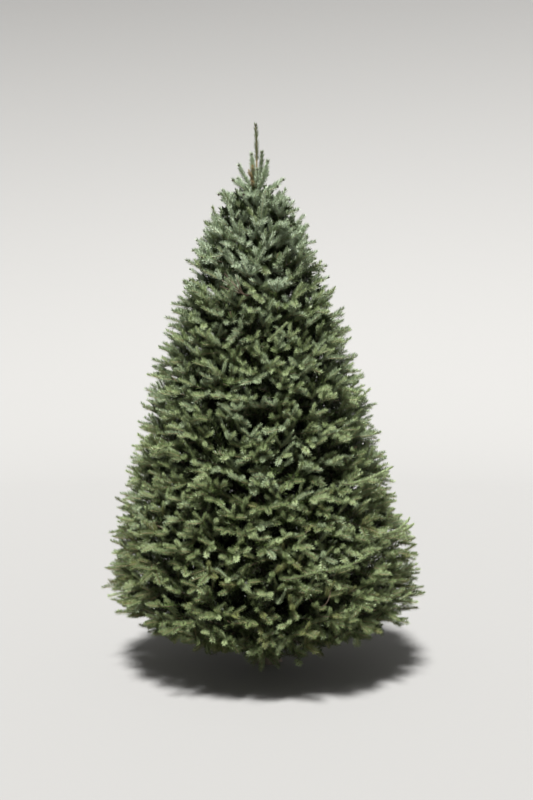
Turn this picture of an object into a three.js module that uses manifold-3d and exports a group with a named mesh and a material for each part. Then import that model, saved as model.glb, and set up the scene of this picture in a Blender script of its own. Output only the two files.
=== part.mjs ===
// A sheared fir grown as a Christmas tree: one trunk, whorls of boughs, and a mass of needle sprays on
// each bough. Millimetres, +Z up, origin at the middle of the trunk's flat cut at ground level. The
// tree's front faces -Y, with +X to its right.
import * as THREE from "three";
import { mergeVertices } from "three/addons/utils/BufferGeometryUtils.js";
import Module from "manifold-3d";

const wasm = await Module();
wasm.setup();

// Whole tree
const treeHeight = 2440;
const seed = 2024;
const gap = 0.3; // clearance where one solid meets the next

// Trunk
const trunkTop = 2120; // the last whorl, where the leader begins
const trunkFootRadius = 41;
const trunkTopRadius = 6;
const trunkLean = 55; // how far the stem has moved to -X
const leanHeight = 1700; // the height by which it has done so
const flareHeight = 70;
const flareShare = 0.45; // how much the foot is wider than the stem above it
const flareLobes = 5;
const flareLobeShare = 0.35; // how much of the flare comes and goes round the foot
const trunkSides = 12;
const trunkSteps = 14;
const trunkCrowding = 1.5; // how much closer the rings are at the foot

// Crown envelope: a power curve above the widest height, a quarter ellipse below it
const crownRadius = 750;
const crownWidest = 370;
const crownTop = 2270;
const crownFoot = 100;
const crownPower = 0.62;

// Tiers: one whorl of boughs each, stacked from the skirt to the leader
const skirtHeight = 130;
const firstTierRise = 373; // how tall the lowest tier is on the crown's surface
const tierRiseLoss = 27; // how much less each next tier is
const borderSlopes = [0.02, 0.16, 0.32, 0.48, 0.62, 0.74, 0.76, 0.55]; // rise over run, skirt to leader
const boughsInTier = [6, 6, 5, 5, 4, 4, 4];
const tiersWithBoughs = 4; // above these, a mass grows straight from the trunk
const tierTurn = 0.25; // of a sector, one way on even tiers and the other way on odd ones

// Boughs and the stems that carry on from them
const boughShare = 0.42; // how far out a bough runs before its needles begin
const stemShare = 0.7; // how far out of the crown the stem inside a mass runs
const boughRadiusLow = 9;
const boughRadiusHigh = 3.5;
const boughTipShare = 0.6; // a bough's tip against its root
const stemTipRadius = 1.8;
const collarShare = 0.5; // the swelling where a bough leaves the trunk
const collarFade = 9; // how fast that swelling dies away
const boughSag = 0.06; // how far a bough sags between its ends, of its length
const boughWander = 0.25; // how far off the middle of its sector a bough may point
const boughSides = 5;
const boughSteps = 4;
const stemSides = 4;
const stemSteps = 2;

// Twigs, each with one spray of needles
const areaPerTwig = 25000; // crown surface, in mm2, that one full-size spray covers
const golden = (Math.sqrt(5) - 1) / 2;
const spaceMargin = 2.5; // how far a mass keeps inside its own space
const sectorShare = 0.86; // how much of a sector's width the twigs are spread over
const tipUneven = 0.06; // how far a tip may fall short of the crown's surface
const twigWander = 0.3; // how unevenly the twigs point
const twigFan = 0.12; // how much the twigs at a sector's sides turn back to its middle
const twigRadius = 3.2;
const twigTaper = 0.8;
const twigLeanShare = 0.6; // how far back along the stem a twig leaves it, of the twig's own reach
const sprayTries = 4; // ways that a spray is turned before it is left out
const sprayLength = 225;
const sprayWidth = 128;
const sprayThickness = 34;
const sprayMiddle = 0.56; // where along a spray it is thickest
const topSprayShare = 0.7; // how small the sprays of the highest tier are
const sprayOutline = [[1, 0], [0.73, 0.17], [0.87, 0.47], [0.52, 0.34], [0, 0.06]]; // along, across

// Cores: the dense inside of a mass
const coreDepth = 88; // how far a core's outer face lies inside the crown's surface
const coreUneven = 0.5; // how much that depth comes and goes
const coreInset = 9; // how far a core keeps inside the borders of its space
const coreStart = 14; // how far past the bough's tip a core begins
const coreRounding = 0.05; // how much the edges of the outer face fall back, of the crown's reach
const coreDip = 0.25; // how much lower and flatter a core is at its sides

// Leader and the upright shoots round its foot
const leaderRadius = 4.2;
const leaderShoots = 9;
const leaderShootStart = 0.35; // radians round from +X
const leaderShootReach = [29, 121]; // how far from the leader a shoot's tip is, first shoot to last
const leaderShootHeights = [2309, 2189]; // the heights of those tips
const leaderSprayShare = 0.55; // a shoot's size against a spray low on the tree
const leaderNeedles = 10;
const needleLength = 30;
const needleRadius = 2.2;
const needleLift = 1.3; // rise over run

// Sprig low on the trunk, in front
const sprigAngle = -1.67; // radians round from +X
const sprigHeight = 115;
const sprigReach = 190;
const sprigDrop = 30;
const sprigRadius = 4.5;
const sprigSprays = 6;
const sprigSprayLength = 115;
const sprigSprayAngle = 1; // radians off the sprig
const sprigSprayShare = 0.55;

const up = new THREE.Vector3(0, 0, 1);
const lerp = THREE.MathUtils.lerp;

// A stream of random numbers from 0 to 1, the same for the same start.
function randomFrom(start) {
  let state = start >>> 0;
  return () => {
    state = (state + 0x6d2b79f5) >>> 0;
    let mixed = Math.imul(state ^ (state >>> 15), state | 1);
    mixed ^= mixed + Math.imul(mixed ^ (mixed >>> 7), mixed | 61);
    return ((mixed ^ (mixed >>> 14)) >>> 0) / 4294967296;
  };
}

// The crown and its tiers

// Where the middle of the trunk is at a height.
function trunkShift(z) {
  return -trunkLean * Math.sin((Math.PI / 2) * THREE.MathUtils.clamp(z / leanHeight, 0, 1));
}

// How far the crown reaches from the trunk at a height.
function crownReach(z) {
  if (z > crownWidest) {
    const share = Math.max(0, (crownTop - z) / (crownTop - crownWidest));
    return crownRadius * share ** crownPower;
  }
  const below = Math.min(1, (crownWidest - z) / (crownWidest - crownFoot));
  return crownRadius * Math.sqrt(1 - below * below);
}

// The tier borders: the height of each on the crown's surface, its slope, and its height at the trunk.
function tierBorders() {
  let height = skirtHeight;
  return borderSlopes.map((slope, tier) => {
    const border = { height, slope, atTrunk: height - slope * crownReach(height) };
    height += firstTierRise - tierRiseLoss * tier;
    return border;
  });
}

const borders = tierBorders();

// The space that one mass keeps to: a sector between two sloping borders.
function massSpace(tier, index) {
  const half = Math.PI / boughsInTier[tier];
  const turned = index + (tier % 2 ? tierTurn : -tierTurn);
  return {
    tier,
    low: borders[tier],
    high: borders[tier + 1],
    middle: turned * 2 * half - Math.PI / 2,
    half,
  };
}

// A point from its place round the trunk, its distance from it and its height.
function crownPoint(angle, distance, z) {
  return new THREE.Vector3(trunkShift(z) + distance * Math.cos(angle), distance * Math.sin(angle), z);
}

// Whether a point lies in a space, at least the margin inside its borders.
function inSpace(space, point) {
  const x = point.x - trunkShift(point.z);
  const distance = Math.hypot(x, point.y);
  const turn = Math.atan2(point.y, x) - space.middle;
  const off = Math.abs(Math.atan2(Math.sin(turn), Math.cos(turn)));
  return (
    off < space.half &&
    distance * Math.sin(space.half - off) > spaceMargin &&
    point.z > space.low.atTrunk + space.low.slope * distance + spaceMargin &&
    point.z < space.high.atTrunk + space.high.slope * distance - spaceMargin
  );
}

// Closed shapes

// A three.js geometry with only its positions, and with its shared vertices merged.
function mergedShape(geometry) {
  geometry.deleteAttribute("normal");
  geometry.deleteAttribute("uv");
  return mergeVertices(geometry);
}

// A merged shape with each vertex moved by a rule.
function reshaped(shape, rule) {
  const made = shape.clone();
  const place = made.attributes.position;
  const point = new THREE.Vector3();
  for (let i = 0; i < place.count; i += 1) {
    rule(point.fromBufferAttribute(place, i));
    place.setXYZ(i, point.x, point.y, point.z);
  }
  return made;
}

function solidOf(shape) {
  const vertProperties = shape.attributes.position.array;
  const triVerts = new Uint32Array(shape.index.array);
  return new wasm.Manifold(new wasm.Mesh({ numProp: 3, vertProperties, triVerts }));
}

function geometryOf(solid) {
  const { vertProperties, triVerts } = solid.getMesh();
  return new THREE.BufferGeometry()
    .setAttribute("position", new THREE.BufferAttribute(vertProperties, 3))
    .setIndex(new THREE.BufferAttribute(triVerts, 1));
}

// Solids fused into one body. Scraps that touch nothing and sealed hollows are left out.
function fused(solids) {
  const bodies = wasm.Manifold.union(solids).decompose();
  return bodies.reduce((best, body) => (body.volume() > best.volume() ? body : best));
}

function crosses(one, other) {
  return one.intersect(other).volume() > 0;
}

const limbShapes = new Map();

// A cylinder of radius 1 and length 1, made once for each count of sides and steps.
function limbShape(sides, steps) {
  const key = `${sides} ${steps}`;
  const shape = limbShapes.get(key) ?? mergedShape(new THREE.CylinderGeometry(1, 1, 1, sides, steps));
  limbShapes.set(key, shape);
  return shape;
}

// A tapering limb along a stretch of a curve.
function limb(curve, from, to, radiusAt, sides, steps, reference = up) {
  const side = new THREE.Vector3();
  const over = new THREE.Vector3();
  return solidOf(
    reshaped(limbShape(sides, steps), (point) => {
      const share = point.y + 0.5;
      const along = from + (to - from) * share;
      const tangent = curve.getTangentAt(along);
      const radius = radiusAt(share);
      side.crossVectors(tangent, reference).normalize();
      over.crossVectors(side, tangent);
      const { x, z } = point;
      point.copy(curve.getPointAt(along)).addScaledVector(side, x * radius).addScaledVector(over, z * radius);
    }),
  );
}

// A straight three-sided limb between two points.
function twig(from, to, rootRadius, tipRadius) {
  const line = new THREE.LineCurve3(from, to);
  const steep = Math.abs(line.getTangentAt(0).z) > 0.9;
  const reference = steep ? new THREE.Vector3(0, 1, 0) : up;
  return limb(line, 0, 1, (share) => lerp(rootRadius, tipRadius, share), 3, 1, reference);
}

const sprayShape = mergedShape(new THREE.SphereGeometry(1, 2 * (sprayOutline.length - 1), 2));

// The corner of the toothed outline that stands at an angle round from the spray's tip.
function outlineCorner(angle) {
  const [along, across] = sprayOutline[Math.round((Math.abs(angle) / Math.PI) * (sprayOutline.length - 1))];
  return { along, across: Math.sign(angle) * across };
}

// A spray of needles: a toothed blade, thick along its middle. With it come the points of its outline.
function spray(root, tip, face, size) {
  const along = new THREE.Vector3().subVectors(tip, root);
  const across = new THREE.Vector3().crossVectors(along, face).normalize();
  const out = new THREE.Vector3().crossVectors(across, along).normalize();
  const corners = [];
  const shape = reshaped(sprayShape, (point) => {
    const ridge = Math.abs(point.y) > 0.5;
    const corner = ridge ? { along: sprayMiddle, across: 0 } : outlineCorner(Math.atan2(point.z, point.x));
    const rise = ridge ? (Math.sign(point.y) * sprayThickness * size) / 2 : 0;
    point
      .copy(root)
      .addScaledVector(along, corner.along)
      .addScaledVector(across, corner.across * sprayWidth * size)
      .addScaledVector(out, rise);
    corners.push(point.clone());
  });
  return { solid: solidOf(shape), corners };
}

// Trunk

function trunkRadius(z, angle) {
  const stem = lerp(trunkFootRadius, trunkTopRadius, z / trunkTop);
  const lobe = 1 + flareLobeShare * Math.cos(flareLobes * angle);
  return stem * (1 + flareShare * lobe * Math.exp(-z / flareHeight));
}

// The trunk, grown all round by a clearance where boughs and foliage are cut to meet it.
function trunkSolid(clearance) {
  return solidOf(
    reshaped(limbShape(trunkSides, trunkSteps), (point) => {
      const z = trunkTop * (point.y + 0.5) ** trunkCrowding;
      const angle = Math.atan2(point.z, point.x);
      const onAxis = Math.hypot(point.x, point.z) < 0.5;
      const radius = onAxis ? 0 : trunkRadius(z, angle) + clearance;
      point.set(trunkShift(z) + radius * Math.cos(-angle), radius * Math.sin(-angle), z);
    }),
  );
}

const trunkClear = trunkSolid(gap + 0.05);

// Boughs

// The curve that a bough and the stem of its mass share, out from the trunk's middle.
function boughCurve(space, random) {
  const slope = (space.low.slope + space.high.slope) / 2;
  const foot = (space.low.atTrunk + space.high.atTrunk) / 2;
  const angle = space.middle + (random() - 0.5) * boughWander * space.half;
  const reach = stemShare * crownReach((space.low.height + space.high.height) / 2);
  const sag = boughSag * reach;
  return new THREE.QuadraticBezierCurve3(
    crownPoint(angle, 0, foot),
    crownPoint(angle, reach / 2, foot + (slope * reach) / 2 - 2 * sag),
    crownPoint(angle, reach, foot + slope * reach),
  );
}

function boughRadius(tier) {
  return lerp(boughRadiusLow, boughRadiusHigh, tier / (boughsInTier.length - 1));
}

function boughSolid(curve, tier) {
  const collar = (share) => collarShare * Math.exp(-share * collarFade);
  const radiusAt = (share) => boughRadius(tier) * (lerp(1, boughTipShare, share) + collar(share));
  return limb(curve, 0, boughShare, radiusAt, boughSides, boughSteps).subtract(trunkClear);
}

// Masses of foliage

// The lump that stands for a mass's dense inside, set in from its space on every side.
function coreSolid(space, start, random) {
  const shape = mergedShape(new THREE.BoxGeometry(2, 2, 2, 4, 3, 1));
  return solidOf(
    reshaped(shape, (point) => {
      const { x: across, y: height, z: out } = point;
      const level = (1 + height * (1 - coreDip * across * across)) / 2;
      const outside = lerp(space.low.height, space.high.height, level);
      const rounded = crownReach(outside) * (1 - coreRounding * (across * across + height * height));
      const outer = rounded - coreDepth * (1 + coreUneven * (random() - 0.5));
      const distance = out < 0 ? start : Math.max(outer, start + coreStart);
      const narrow = Math.min(0.7 * space.half, coreInset / distance);
      const angle = space.middle + across * (space.half - narrow);
      const floor = space.low.atTrunk + space.low.slope * distance + coreInset;
      const ceiling = space.high.atTrunk + space.high.slope * distance - coreInset;
      point.copy(crownPoint(angle, distance, lerp(floor, ceiling, level)));
    }),
  );
}

// Where a twig to a point leaves the stem: back from the stem's nearest point, so that it leans forward.
function twigFoot(curve, point) {
  const shares = Array.from({ length: 12 }, (_, i) => lerp(boughShare, 1, i / 11));
  const away = (share) => curve.getPointAt(share).distanceTo(point);
  const nearest = shares.reduce((best, share) => (away(share) < away(best) ? share : best));
  const back = (twigLeanShare * away(nearest)) / curve.getLength();
  return curve.getPointAt(Math.max(shares[1], nearest - back));
}

// The twigs of a mass and their sprays, spread evenly over its part of the crown's surface.
function twigsOf(space, curve, random) {
  const rise = space.high.height - space.low.height;
  const reach = crownReach((space.low.height + space.high.height) / 2);
  const size = lerp(1, topSprayShare, space.tier / (boughsInTier.length - 1));
  const count = Math.round((rise * reach * 2 * space.half) / (areaPerTwig * size * size));
  const twigs = [];
  const sprays = [];
  for (let i = 0; i < count; i += 1) {
    const level = (i + 0.5) / count;
    const across = ((0.5 + i * golden) % 1) * 2 - 1;
    const height = lerp(space.low.height, space.high.height, level);
    const angle = space.middle + across * sectorShare * space.half;
    const slope = lerp(space.low.slope, space.high.slope, level) + (random() - 0.5) * twigWander;
    const heading = angle - across * twigFan + (random() - 0.5) * twigWander;
    const tip = crownPoint(angle, crownReach(height) * (1 - tipUneven * random()), height);
    const along = new THREE.Vector3(Math.cos(heading), Math.sin(heading), slope).normalize();
    const fork = tip.clone().addScaledVector(along, -sprayLength * size);
    for (let attempt = 0; attempt < sprayTries; attempt += 1) {
      const face = up.clone().applyAxisAngle(along, (random() - 0.5) * Math.PI);
      const blade = spray(fork, tip, face, size);
      const fits = blade.corners.every((corner) => inSpace(space, corner));
      if (fits && !sprays.some((other) => crosses(other, blade.solid))) {
        const end = fork.clone().lerp(tip, 0.1);
        twigs.push(twig(twigFoot(curve, fork), end, twigRadius, twigRadius * twigTaper));
        sprays.push(blade.solid);
        break;
      }
    }
  }
  return [...twigs, ...sprays];
}

function foliageSolid(space, curve, random) {
  const onTrunk = space.tier >= tiersWithBoughs;
  const length = curve.getLength();
  const from = onTrunk ? 0 : boughShare + gap / length;
  const rootRadius = boughRadius(space.tier) * (onTrunk ? 1 : boughTipShare);
  const stem = limb(curve, from, 1, (share) => lerp(rootRadius, stemTipRadius, share), stemSides, stemSteps);
  const start = onTrunk ? trunkRadius(space.low.atTrunk, 0) / 2 : boughShare * length + coreStart;
  const core = coreSolid(space, start, random);
  const mass = fused([stem, core, ...twigsOf(space, curve, random)]);
  return onTrunk ? fused([mass.subtract(trunkClear)]) : mass;
}

// The leader with its short needles, and the upright shoots round its foot.
function leaderSolid(random) {
  const line = new THREE.LineCurve3(crownPoint(0, 0, trunkTop + gap), crownPoint(0, 0, treeHeight));
  const front = new THREE.Vector3(0, 1, 0);
  const made = [limb(line, 0, 1, (share) => leaderRadius * (1 - share / 2), 5, 1, front)];
  for (let i = 0; i < leaderNeedles; i += 1) {
    const angle = i * golden * 2 * Math.PI;
    const out = new THREE.Vector3(Math.cos(angle), Math.sin(angle), needleLift).normalize();
    const root = line.getPointAt(lerp(0.34, 0.94, i / leaderNeedles));
    made.push(twig(root, root.clone().addScaledVector(out, needleLength), needleRadius, needleRadius / 5));
  }
  for (let i = 0; i < leaderShoots; i += 1) {
    const angle = leaderShootStart + i * golden * 2 * Math.PI;
    const share = i / (leaderShoots - 1);
    const root = line.getPointAt(lerp(0.1, 0.02, share));
    const tip = crownPoint(angle, lerp(...leaderShootReach, share), lerp(...leaderShootHeights, share));
    const out = new THREE.Vector3().subVectors(tip, root).normalize();
    const face = new THREE.Vector3(-Math.sin(angle), Math.cos(angle), 0);
    made.push(spray(root, tip, face.applyAxisAngle(out, random() * Math.PI), leaderSprayShare).solid);
  }
  return fused(made);
}

// The small sprig that hangs low at the front of the trunk's foot.
function sprigSolid() {
  const curve = new THREE.QuadraticBezierCurve3(
    crownPoint(sprigAngle, 0, sprigHeight),
    crownPoint(sprigAngle, sprigReach / 2, sprigHeight + 4),
    crownPoint(sprigAngle, sprigReach, sprigHeight - sprigDrop),
  );
  const made = [limb(curve, 0, 1, (share) => lerp(sprigRadius, stemTipRadius, share), stemSides, 3)];
  for (let i = 0; i < sprigSprays; i += 1) {
    const share = lerp(0.45, 0.95, i / (sprigSprays - 1));
    const side = i === sprigSprays - 1 ? 0 : (-1) ** i;
    const out = curve.getTangentAt(share).applyAxisAngle(up, -side * sprigSprayAngle);
    const root = curve.getPointAt(share);
    const tip = root.clone().addScaledVector(out, sprigSprayLength);
    made.push(spray(root, tip, up, sprigSprayShare).solid);
  }
  return fused([fused(made).subtract(trunkClear)]);
}

// The tree

const bark = new THREE.MeshStandardMaterial({ color: 0x6e6358, roughness: 0.92, metalness: 0 });
const boughBark = new THREE.MeshStandardMaterial({ color: 0x7d6b55, roughness: 0.88, metalness: 0 });
const needles = new THREE.MeshStandardMaterial({ color: 0x5f7659, roughness: 0.62, metalness: 0 });

function named(name, solid, material) {
  const mesh = new THREE.Mesh(geometryOf(solid), material);
  mesh.name = name;
  return mesh;
}

function firTree() {
  const tree = new THREE.Group();
  tree.add(named("trunk", trunkSolid(0), bark));
  boughsInTier.forEach((count, tier) => {
    for (let index = 0; index < count; index += 1) {
      const random = randomFrom(seed + 100 * tier + index);
      const space = massSpace(tier, index);
      const curve = boughCurve(space, random);
      const label = `${tier + 1}_${index + 1}`;
      if (tier < tiersWithBoughs) tree.add(named(`bough_${label}`, boughSolid(curve, tier), boughBark));
      tree.add(named(`foliage_${label}`, foliageSolid(space, curve, random), needles));
    }
  });
  tree.add(named("foliage_leader", leaderSolid(randomFrom(seed)), needles));
  tree.add(named("foliage_foot", sprigSolid(), needles));
  return tree;
}

export default firTree();
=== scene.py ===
# Fir christmas tree: a sheared fir 2.44 m high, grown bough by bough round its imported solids.
# Metres, +Z up, the trunk's flat cut at the origin, the tree's front towards -Y. Blender 4.5.
import math
from collections import defaultdict
from functools import partial

import bpy
import numpy
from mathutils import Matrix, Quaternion, Vector, noise


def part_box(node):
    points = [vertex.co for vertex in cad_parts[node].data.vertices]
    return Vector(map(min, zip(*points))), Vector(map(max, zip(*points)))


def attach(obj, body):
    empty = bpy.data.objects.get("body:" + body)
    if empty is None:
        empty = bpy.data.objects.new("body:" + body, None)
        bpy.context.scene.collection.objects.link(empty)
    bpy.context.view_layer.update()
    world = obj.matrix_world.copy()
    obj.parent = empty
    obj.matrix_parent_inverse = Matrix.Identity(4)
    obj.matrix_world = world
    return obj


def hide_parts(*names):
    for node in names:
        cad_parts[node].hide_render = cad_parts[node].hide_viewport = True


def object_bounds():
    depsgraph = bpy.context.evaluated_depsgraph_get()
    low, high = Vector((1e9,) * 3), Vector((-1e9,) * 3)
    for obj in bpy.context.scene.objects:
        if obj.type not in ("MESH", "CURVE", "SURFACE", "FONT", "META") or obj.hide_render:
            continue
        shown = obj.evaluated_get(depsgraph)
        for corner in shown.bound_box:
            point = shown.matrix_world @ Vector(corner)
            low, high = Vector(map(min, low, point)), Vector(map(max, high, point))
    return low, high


print("fir: loading the frame")
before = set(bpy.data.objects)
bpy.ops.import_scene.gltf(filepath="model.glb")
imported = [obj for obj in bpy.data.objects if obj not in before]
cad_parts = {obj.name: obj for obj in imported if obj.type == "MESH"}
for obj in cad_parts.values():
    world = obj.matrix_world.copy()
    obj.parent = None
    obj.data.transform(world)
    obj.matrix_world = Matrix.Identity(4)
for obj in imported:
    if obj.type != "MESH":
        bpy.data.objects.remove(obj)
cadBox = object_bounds()

golden = (math.sqrt(5) - 1) / 2
up = Vector((0, 0, 1))


# Small tools

def lerp(start, end, share):
    return start + (end - start) * share


def ramp(value, start, end):
    return min(1.0, max(0.0, (value - start) / (end - start)))


def linear(colour):  # an sRGB hex colour as the linear colour that shaders take
    channels = [int(colour[i:i + 2], 16) / 255 for i in (1, 3, 5)]
    return [c / 12.92 if c <= 0.04045 else ((c + 0.055) / 1.055) ** 2.4 for c in channels] + [1.0]


def randomFrom(start):  # a stream of random numbers from 0 to 1, the same for the same start
    word = 0xFFFFFFFF
    state = start & word

    def draw():
        nonlocal state
        state = (state + 0x6D2B79F5) & word
        mixed = ((state ^ (state >> 15)) * (state | 1)) & word
        mixed ^= (mixed + (((mixed ^ (mixed >> 7)) * (mixed | 61)) & word)) & word
        return (mixed ^ (mixed >> 14)) / (word + 1)

    return draw


def addNode(tree, kind, inputs=None, **settings):  # an input is a value, a socket or another node
    node = tree.nodes.new(kind)
    for name, value in settings.items():
        setattr(node, name, value)
    for key, value in (inputs or {}).items():
        named = [s for s in node.inputs if s.enabled and s.name == key]
        socket = node.inputs[key] if isinstance(key, int) else named[0]
        if isinstance(value, bpy.types.Node):
            value = next(s for s in value.outputs if s.enabled)
        if isinstance(value, bpy.types.NodeSocket):
            tree.links.new(value, socket)
        else:
            socket.default_value = value
    return node


def newTree(name, sizes):  # a Geometry Nodes tree with one named input for each size
    tree = bpy.data.node_groups.new(name, "GeometryNodeTree")
    for way in ("OUTPUT", "INPUT"):
        tree.interface.new_socket("Geometry", in_out=way, socket_type="NodeSocketGeometry")
    kinds = {int: "NodeSocketInt", float: "NodeSocketFloat"}
    for label, value in sizes.items():
        socket = tree.interface.new_socket(label, in_out="INPUT", socket_type=kinds[type(value)])
        socket.default_value = value
    add = partial(addNode, tree)
    return tree, add, add("NodeGroupInput").outputs


def newObject(name, data):
    made = bpy.data.objects.new(name, data)
    bpy.context.scene.collection.objects.link(made)
    return made


def pathObject(name, paths):  # one chain of points for each path, with the path's facts on its points
    points = [p for path in paths for p in path["points"]]
    edges = []
    start = 0
    for path in paths:
        count = len(path["points"])
        edges += [(start + i, start + i + 1) for i in range(count - 1)]
        start += count
    mesh = bpy.data.meshes.new(name)
    mesh.from_pydata(points, edges, [])
    for fact in paths[0]:
        if fact == "points":
            continue
        values = []
        for path in paths:
            value = path[fact]
            last = len(path["points"]) - 1
            ends = value if isinstance(value, tuple) else (value, value)
            values += value if isinstance(value, list) else [lerp(*ends, i / last) for i in range(last + 1)]
        mesh.attributes.new(fact, "FLOAT", "POINT").data.foreach_set("value", values)
    return newObject(name, mesh)


def grown(name, paths, tree, sizes):  # the paths turned into a plain mesh by a Geometry Nodes tree
    source = pathObject(name + "_paths", paths)
    modifier = source.modifiers.new(tree.name, "NODES")
    modifier.node_group = tree
    for item in tree.interface.items_tree:
        if item.in_out == "INPUT" and item.name in sizes:
            modifier[item.identifier] = sizes[item.name]
    evaluated = source.evaluated_get(bpy.context.evaluated_depsgraph_get())
    mesh = bpy.data.meshes.new_from_object(evaluated)
    mesh.name = name
    for fact in [a.name for a in mesh.attributes if a.name in paths[0]]:
        mesh.attributes.remove(mesh.attributes[fact])
    source.modifiers.remove(modifier)
    bpy.data.objects.remove(source)
    keepUsedMaterials(mesh)
    return newObject(name, mesh)


def keepUsedMaterials(mesh):
    slots = numpy.zeros(len(mesh.polygons), numpy.int32)
    mesh.polygons.foreach_get("material_index", slots)
    used, slots = numpy.unique(slots, return_inverse=True)
    materials = [mesh.materials[slot] for slot in used]
    mesh.materials.clear()
    for material in materials:
        mesh.materials.append(material)
    mesh.polygons.foreach_set("material_index", slots.astype(numpy.int32).ravel())


def ringFaces(rings, sides):  # quads between rings of points that follow each other, facing outwards
    faces = []
    for low in range(0, rings * sides, sides):
        for side in range(sides):
            across = (side + 1) % sides
            faces.append((low + side, low + across, low + sides + across, low + sides + side))
    return faces


def facedObject(name, vertices, faces, material):  # its quads are smooth, its other faces flat
    mesh = bpy.data.meshes.new(name)
    mesh.from_pydata(vertices, [], faces)
    mesh.materials.append(material)
    mesh.polygons.foreach_set("use_smooth", [len(face) == 4 for face in faces])
    return newObject(name, mesh)


def keep(made, nodes=()):  # every piece rides on the one body
    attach(made, "root")
    if nodes:
        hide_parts(*nodes)
    print(f"fir: {made.name}, {len(made.data.polygons)} faces")


# The crown's envelope and its tiers, as the solids have them

crown = {
    "seed": 2024,
    "radius": 0.75,
    "widest": 0.37,  # the height where it is so
    "top": 2.27,
    "foot": 0.10,
    "power": 0.62,  # of the curve above the widest height
    "lean": 0.055,  # how far the trunk has moved to -X
    "leanHeight": 1.7,
    "trunkTop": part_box("trunk")[1].z,
    "treeHeight": cadBox[1][2],
    "skirtHeight": 0.13,
    "firstTierRise": 0.373,
    "tierRiseLoss": 0.027,
    "borderSlopes": (0.02, 0.16, 0.32, 0.48, 0.62, 0.74, 0.76, 0.55),
    "boughsInTier": (6, 6, 5, 5, 4, 4, 4),
    "needlePieces": (3, 2, 2, 1, 1, 1, 1),  # how many a tier's needles are split into
    "tiersWithBoughs": 4,
    "tierTurn": 0.25,
    "spaceSpill": 0.070,  # how far a shoot may stand over the border of its mass
}
lastTier = len(crown["boughsInTier"]) - 1


def byTier(pair, tier, power=1):  # from the lowest tier's value to the highest's
    return lerp(*pair, (tier / lastTier) ** power)


def trunkShift(z):
    return -crown["lean"] * math.sin(math.pi / 2 * ramp(z, 0, crown["leanHeight"]))


def crownReach(z):
    if z > crown["widest"]:
        share = max(0.0, (crown["top"] - z) / (crown["top"] - crown["widest"]))
        return crown["radius"] * share ** crown["power"]
    below = min(1.0, (crown["widest"] - z) / (crown["widest"] - crown["foot"]))
    return crown["radius"] * math.sqrt(1 - below * below)


def crownPoint(angle, distance, z):
    return Vector((trunkShift(z) + distance * math.cos(angle), distance * math.sin(angle), z))


borders = []
height = crown["skirtHeight"]
for tier, slope in enumerate(crown["borderSlopes"]):
    borders.append({"height": height, "slope": slope, "atTrunk": height - slope * crownReach(height)})
    height += crown["firstTierRise"] - crown["tierRiseLoss"] * tier


def massSpace(tier, index):  # the sector between two sloping borders that one mass keeps to
    half = math.pi / crown["boughsInTier"][tier]
    turned = index + (crown["tierTurn"] if tier % 2 else -crown["tierTurn"])
    return {
        "tier": tier,
        "low": borders[tier],
        "high": borders[tier + 1],
        "middle": turned * 2 * half - math.pi / 2,
        "half": half,
    }


def inSpace(space, point):
    x = point.x - trunkShift(point.z)
    distance = math.hypot(x, point.y)
    turn = math.atan2(point.y, x) - space["middle"]
    off = abs(math.atan2(math.sin(turn), math.cos(turn)))
    floor = space["low"]["atTrunk"] + space["low"]["slope"] * distance
    ceiling = space["high"]["atTrunk"] + space["high"]["slope"] * distance
    spill = crown["spaceSpill"]
    inSector = distance * math.sin(min(space["half"] - off, math.pi / 2)) > -spill
    return inSector and floor - spill < point.z < ceiling + spill


def beyondCrown(point):  # how far a point stands out of the crown's surface
    return math.hypot(point.x - trunkShift(point.z), point.y) - crownReach(point.z)


# Boughs: one limb for each mass, out from the trunk's middle to near the crown's surface

boughs = {
    "radii": (0.009, 0.0035),  # at the root, by tier
    "boughShare": 0.42,  # how far out a bough runs before its needles begin
    "stemShare": 0.7,  # how far out of the crown the stem inside a mass runs
    "endShare": 1.28,  # how far the limb is carried on, of that
    "tipShare": 0.6,
    "endRadius": 0.0016,
    "collarShare": 0.5,  # the swelling where a bough leaves the trunk
    "collarFade": 9,
    "sag": 0.06,
    "wander": 0.25,
    "steps": 60,
    "fineSteps": 200,  # along which its length is measured
}


def boughCurve(space, draw):  # evenly spaced points, and the length from the trunk to the stem's end
    slope = (space["low"]["slope"] + space["high"]["slope"]) / 2
    foot = (space["low"]["atTrunk"] + space["high"]["atTrunk"]) / 2
    angle = space["middle"] + (draw() - 0.5) * boughs["wander"] * space["half"]
    reach = boughs["stemShare"] * crownReach((space["low"]["height"] + space["high"]["height"]) / 2)
    root = crownPoint(angle, 0, foot)
    middle = crownPoint(angle, reach / 2, foot + slope * reach / 2 - 2 * boughs["sag"] * reach)
    end = crownPoint(angle, reach, foot + slope * reach)
    fine = []
    count = boughs["fineSteps"]
    for i in range(count + 1):
        t = i / count * boughs["endShare"]
        fine.append(root * (1 - t) ** 2 + middle * 2 * t * (1 - t) + end * t * t)
    walked = [0.0]
    for one, other in zip(fine, fine[1:]):
        walked.append(walked[-1] + (other - one).length)
    length = numpy.interp(count / boughs["endShare"], range(count + 1), walked)
    wanted = numpy.linspace(0, walked[-1], boughs["steps"] + 1)
    axes = [numpy.interp(wanted, walked, [p[axis] for p in fine]) for axis in range(3)]
    points = [Vector(p) for p in zip(*axes)]
    return {"points": points, "step": walked[-1] / boughs["steps"], "length": length}


def curvePoint(curve, share):  # share 1 is the end of the stem in the solids
    place = min(share * curve["length"] / curve["step"], boughs["steps"] - 0.001)
    first = int(place)
    return curve["points"][first].lerp(curve["points"][first + 1], place - first)


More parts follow.
